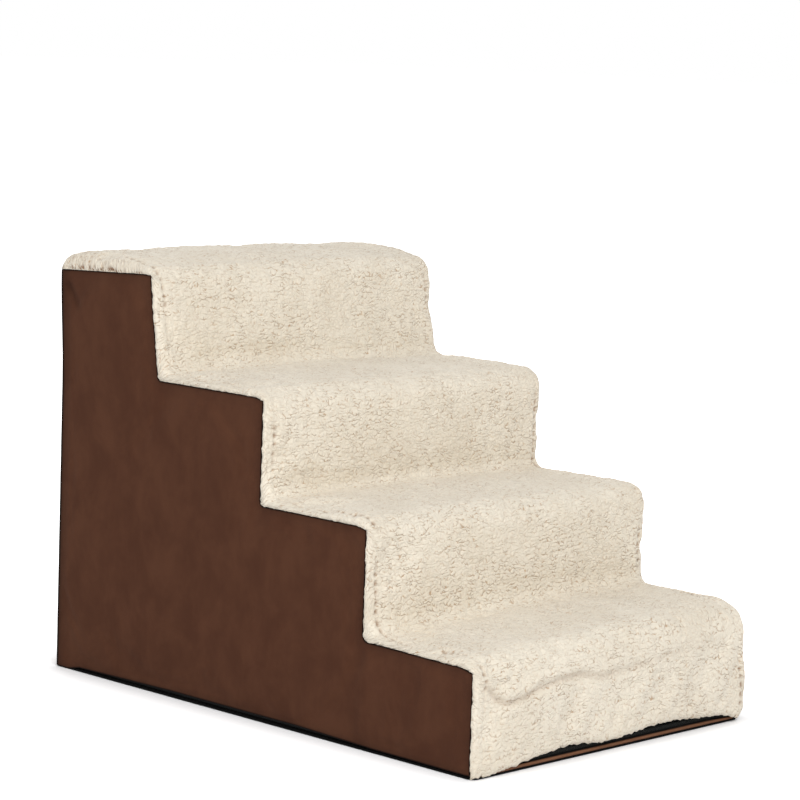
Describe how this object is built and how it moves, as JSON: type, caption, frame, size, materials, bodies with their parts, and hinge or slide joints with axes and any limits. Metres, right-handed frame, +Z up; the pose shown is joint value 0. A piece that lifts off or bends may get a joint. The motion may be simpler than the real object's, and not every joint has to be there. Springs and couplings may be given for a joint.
{
  "type": "pet stairs",
  "caption": "Soft foam pet stairs in a zip-off cover: brown suede sides and back, cream sherpa over the treads and risers, and a black non-slip base.",
  "frame": {"origin": "on the floor under the middle of the stairs", "axes": "+X runs down the stairs and out of the front, +Y is to the right of someone who climbs them, +Z is up"},
  "size_m": [0.5696, 0.3703, 0.406],
  "materials": {
    "foam": "matte",
    "sherpa": "matte",
    "suede": "matte",
    "base_fabric": "matte",
    "zip_tape": "matte",
    "zip_coil": "satin",
    "zip_metal": "satin"
  },
  "bodies": {
    "stairs": {"foam_slab_1": "foam", "foam_slab_2": "foam", "foam_slab_3": "foam", "foam_slab_4": "foam", "sherpa_runner": "sherpa", "left_side_panel": "suede", "right_side_panel": "suede", "back_panel": "suede", "front_strip": "suede", "base_panel": "base_fabric", "zipper_tape_upper": "zip_tape", "zipper_tape_lower": "zip_tape", "zipper_coil_upper": "zip_coil", "zipper_coil_lower": "zip_coil", "zipper_top_stops": "zip_metal", "zipper_bottom_stop": "zip_metal"},
    "slider": {"zipper_slider": "zip_metal"},
    "pull": {"zipper_pull": "zip_metal"}
  },
  "joints": [
    {"name": "zipper_slide", "type": "slide", "parent": "stairs", "child": "slider", "axis": [1, 0, 0], "range_m": [0, 0.466]},
    {"name": "pull_hinge", "type": "hinge", "parent": "slider", "child": "pull", "pos_m": [-0.25565, 0.18445, 0.00565], "axis": [0, 0, 1], "range_deg": [0, 170]}
  ]
}
